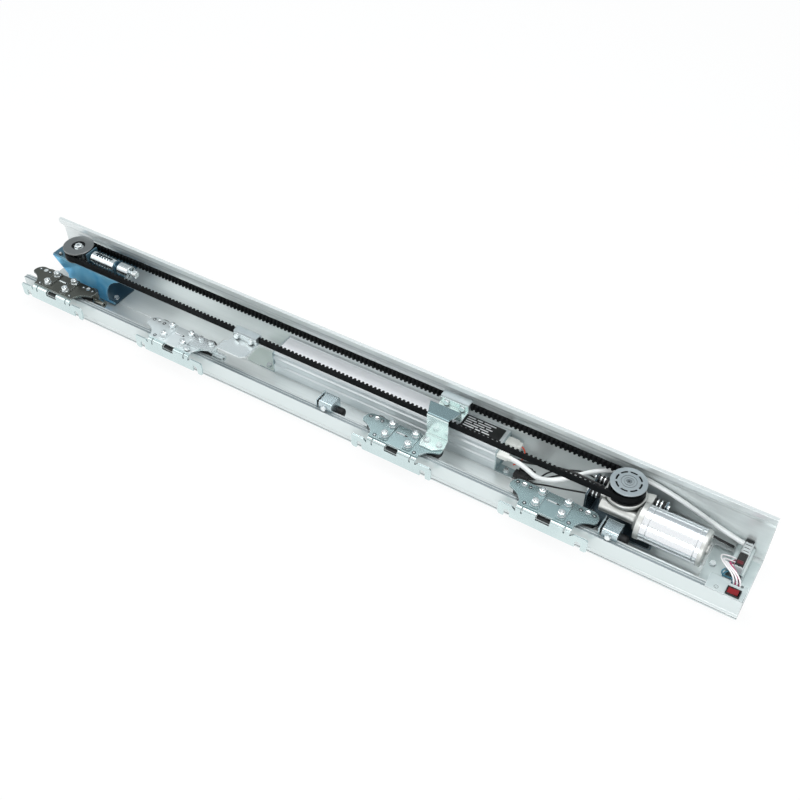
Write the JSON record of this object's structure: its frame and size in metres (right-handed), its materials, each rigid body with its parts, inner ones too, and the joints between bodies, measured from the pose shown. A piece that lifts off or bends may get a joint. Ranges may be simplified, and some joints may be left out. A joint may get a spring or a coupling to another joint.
{
  "type": "sliding door operator",
  "caption": "Belt driven sliding door operator in an aluminium header, with carriages on a rail, gearmotor, control unit, idler with tensioner and mains switch.",
  "frame": {"origin": "centre of the header's back face, the face against the wall", "axes": "+X along the track to the motor and mains end, +Y from the rail to the top flange (up once mounted), +Z away from the wall"},
  "size_m": [1.42, 0.143, 0.11],
  "materials": {
    "anodised_aluminium": "satin anodised extrusion",
    "zinc_plated_steel": "zinc plated sheet and turned parts",
    "blue_zinc_plated_steel": "blue passivated zinc plate",
    "cast_aluminium": "die cast, tumbled",
    "bearing_steel": "ground rings with dark seals",
    "dark_machined_aluminium": "turned, dark anodised",
    "machined_aluminium": "turned",
    "spring_steel": "drawn wire",
    "black_belt_rubber": "moulded toothed belt",
    "black_rubber": "moulded",
    "turned_steel": "turned",
    "brushed_motor_steel": "brushed and lacquered",
    "green_laminate": "solder mask",
    "white_nylon": "moulded",
    "white_cable_sheath": "extruded sheath",
    "black_cable_sheath": "extruded sheath",
    "pale_galvanised_steel": "pale coated sheet",
    "grey_polyamide": "moulded",
    "black_abs": "moulded",
    "red_polycarbonate": "moulded",
    "white_wire_insulation": "extruded",
    "white_acetal": "turned"
  },
  "bodies": {
    "header": {"header_track": "anodised_aluminium", "idler_bracket": "blue_zinc_plated_steel", "idler_slider": "blue_zinc_plated_steel", "idler_axle": "zinc_plated_steel", "tension_barrel": "zinc_plated_steel", "tension_spring": "spring_steel", "tension_screw": "zinc_plated_steel", "toothed_belt": "black_belt_rubber", "gearbox_housing": "cast_aluminium", "motor_can": "brushed_motor_steel", "motor_end_cap": "cast_aluminium", "motor_bracket": "blue_zinc_plated_steel", "rubber_dampers": "black_rubber", "damper_bolts": "zinc_plated_steel", "control_housing": "anodised_aluminium", "control_end_caps": "zinc_plated_steel", "circuit_board": "green_laminate", "control_plugs": "white_nylon", "power_cable": "white_cable_sheath", "motor_lead": "black_cable_sheath", "mains_bracket": "pale_galvanised_steel", "terminal_block": "grey_polyamide", "switch_bezel": "black_abs", "mains_wires": "white_wire_insulation", "stopper_clamps": "zinc_plated_steel", "stopper_buffers": "black_rubber", "track_screws": "zinc_plated_steel"},
    "idler": {"idler_pulley": "dark_machined_aluminium", "idler_bearing": "bearing_steel"},
    "drive": {"drive_pulley": "machined_aluminium", "drive_shaft": "turned_steel"},
    "tension_knob": {"tension_knob": "machined_aluminium"},
    "switch_rocker": {"switch_rocker": "red_polycarbonate"},
    "carriage_1": {"carriage_1_plate": "zinc_plated_steel", "carriage_1_hanger": "zinc_plated_steel", "carriage_1_fasteners": "zinc_plated_steel"},
    "wheel_1_left": {"carriage_1_wheel_left": "white_acetal"},
    "wheel_1_right": {"carriage_1_wheel_right": "white_acetal"},
    "carriage_2": {"carriage_2_plate": "zinc_plated_steel", "carriage_2_hanger": "zinc_plated_steel", "carriage_2_fasteners": "zinc_plated_steel", "clamp_a_bracket": "zinc_plated_steel", "clamp_a_jaw": "cast_aluminium", "clamp_a_bolts": "zinc_plated_steel"},
    "wheel_2_left": {"carriage_2_wheel_left": "white_acetal"},
    "wheel_2_right": {"carriage_2_wheel_right": "white_acetal"},
    "carriage_3": {"carriage_3_plate": "zinc_plated_steel", "carriage_3_hanger": "zinc_plated_steel", "carriage_3_fasteners": "zinc_plated_steel", "clamp_b_bracket": "zinc_plated_steel", "clamp_b_jaw": "cast_aluminium", "clamp_b_bolts": "zinc_plated_steel"},
    "wheel_3_left": {"carriage_3_wheel_left": "white_acetal"},
    "wheel_3_right": {"carriage_3_wheel_right": "white_acetal"},
    "carriage_4": {"carriage_4_plate": "zinc_plated_steel", "carriage_4_hanger": "zinc_plated_steel", "carriage_4_fasteners": "zinc_plated_steel"},
    "wheel_4_left": {"carriage_4_wheel_left": "white_acetal"},
    "wheel_4_right": {"carriage_4_wheel_right": "white_acetal"}
  },
  "joints": [
    {"name": "carriage_1_slide", "type": "slide", "parent": "header", "child": "carriage_1", "axis": [1, 0, 0], "range_m": [-0.008, 0.05]},
    {"name": "carriage_2_slide", "type": "slide", "parent": "header", "child": "carriage_2", "axis": [1, 0, 0], "range_m": [-0.06, 0.033], "deforming": ["toothed_belt"]},
    {"name": "carriage_3_slide", "type": "slide", "parent": "header", "child": "carriage_3", "axis": [1, 0, 0], "range_m": [-0.033, 0.06], "deforming": ["toothed_belt"]},
    {"name": "carriage_4_slide", "type": "slide", "parent": "header", "child": "carriage_4", "axis": [1, 0, 0], "range_m": [-0.05, 0.003]},
    {"name": "wheel_1_left_spin", "type": "hinge", "parent": "carriage_1", "child": "wheel_1_left", "pos_m": [-0.678, -0.034, 0.038], "axis": [0, 0, 1], "range_deg": [-206, 34]},
    {"name": "wheel_1_right_spin", "type": "hinge", "parent": "carriage_1", "child": "wheel_1_right", "pos_m": [-0.57, -0.034, 0.038], "axis": [0, 0, 1], "range_deg": [-206, 34]},
    {"name": "wheel_2_left_spin", "type": "hinge", "parent": "carriage_2", "child": "wheel_2_left", "pos_m": [-0.3945, -0.034, 0.038], "axis": [0, 0, 1], "range_deg": [-137, 247]},
    {"name": "wheel_2_right_spin", "type": "hinge", "parent": "carriage_2", "child": "wheel_2_right", "pos_m": [-0.2865, -0.034, 0.038], "axis": [0, 0, 1], "range_deg": [-137, 247]},
    {"name": "wheel_3_left_spin", "type": "hinge", "parent": "carriage_3", "child": "wheel_3_left", "pos_m": [0.073, -0.034, 0.038], "axis": [0, 0, 1], "range_deg": [-247, 137]},
    {"name": "wheel_3_right_spin", "type": "hinge", "parent": "carriage_3", "child": "wheel_3_right", "pos_m": [0.181, -0.034, 0.038], "axis": [0, 0, 1], "range_deg": [-247, 137]},
    {"name": "wheel_4_left_spin", "type": "hinge", "parent": "carriage_4", "child": "wheel_4_left", "pos_m": [0.3465, -0.034, 0.038], "axis": [0, 0, 1], "range_deg": [-14, 206]},
    {"name": "wheel_4_right_spin", "type": "hinge", "parent": "carriage_4", "child": "wheel_4_right", "pos_m": [0.4545, -0.034, 0.038], "axis": [0, 0, 1], "range_deg": [-14, 206]},
    {"name": "idler_spin", "type": "hinge", "parent": "header", "child": "idler", "pos_m": [-0.631, 0.0175, 0.085], "axis": [0, 0, 1], "range_deg": [-130, 72], "deforming": ["toothed_belt"]},
    {"name": "drive_spin", "type": "hinge", "parent": "header", "child": "drive", "pos_m": [0.493, 0.0175, 0.085], "axis": [0, 0, 1], "range_deg": [-130, 72], "deforming": ["toothed_belt"]},
    {"name": "tension_knob_turn", "type": "hinge", "parent": "header", "child": "tension_knob", "pos_m": [-0.515, 0.0175, 0.085], "axis": [1, 0, 0], "range_deg": [-180, 180]},
    {"name": "switch_rocker_tilt", "type": "hinge", "parent": "header", "child": "switch_rocker", "pos_m": [0.6925, -0.0535, 0.0455], "axis": [0, 1, 0], "range_deg": [0, 18]}
  ],
  "couplings": [
    {"joint": "carriage_3_slide", "follows": "carriage_2_slide", "ratio": -1},
    {"joint": "wheel_1_left_spin", "follows": "carriage_1_slide", "rad_per_m": -71.429},
    {"joint": "wheel_1_right_spin", "follows": "carriage_1_slide", "rad_per_m": -71.429},
    {"joint": "wheel_2_left_spin", "follows": "carriage_2_slide", "rad_per_m": -71.429},
    {"joint": "wheel_2_right_spin", "follows": "carriage_2_slide", "rad_per_m": -71.429},
    {"joint": "wheel_3_left_spin", "follows": "carriage_2_slide", "rad_per_m": 71.429},
    {"joint": "wheel_3_right_spin", "follows": "carriage_2_slide", "rad_per_m": 71.429},
    {"joint": "wheel_4_left_spin", "follows": "carriage_4_slide", "rad_per_m": -71.429},
    {"joint": "wheel_4_right_spin", "follows": "carriage_4_slide", "rad_per_m": -71.429},
    {"joint": "idler_spin", "follows": "carriage_2_slide", "rad_per_m": 37.4},
    {"joint": "drive_spin", "follows": "carriage_2_slide", "rad_per_m": 37.4}
  ]
}
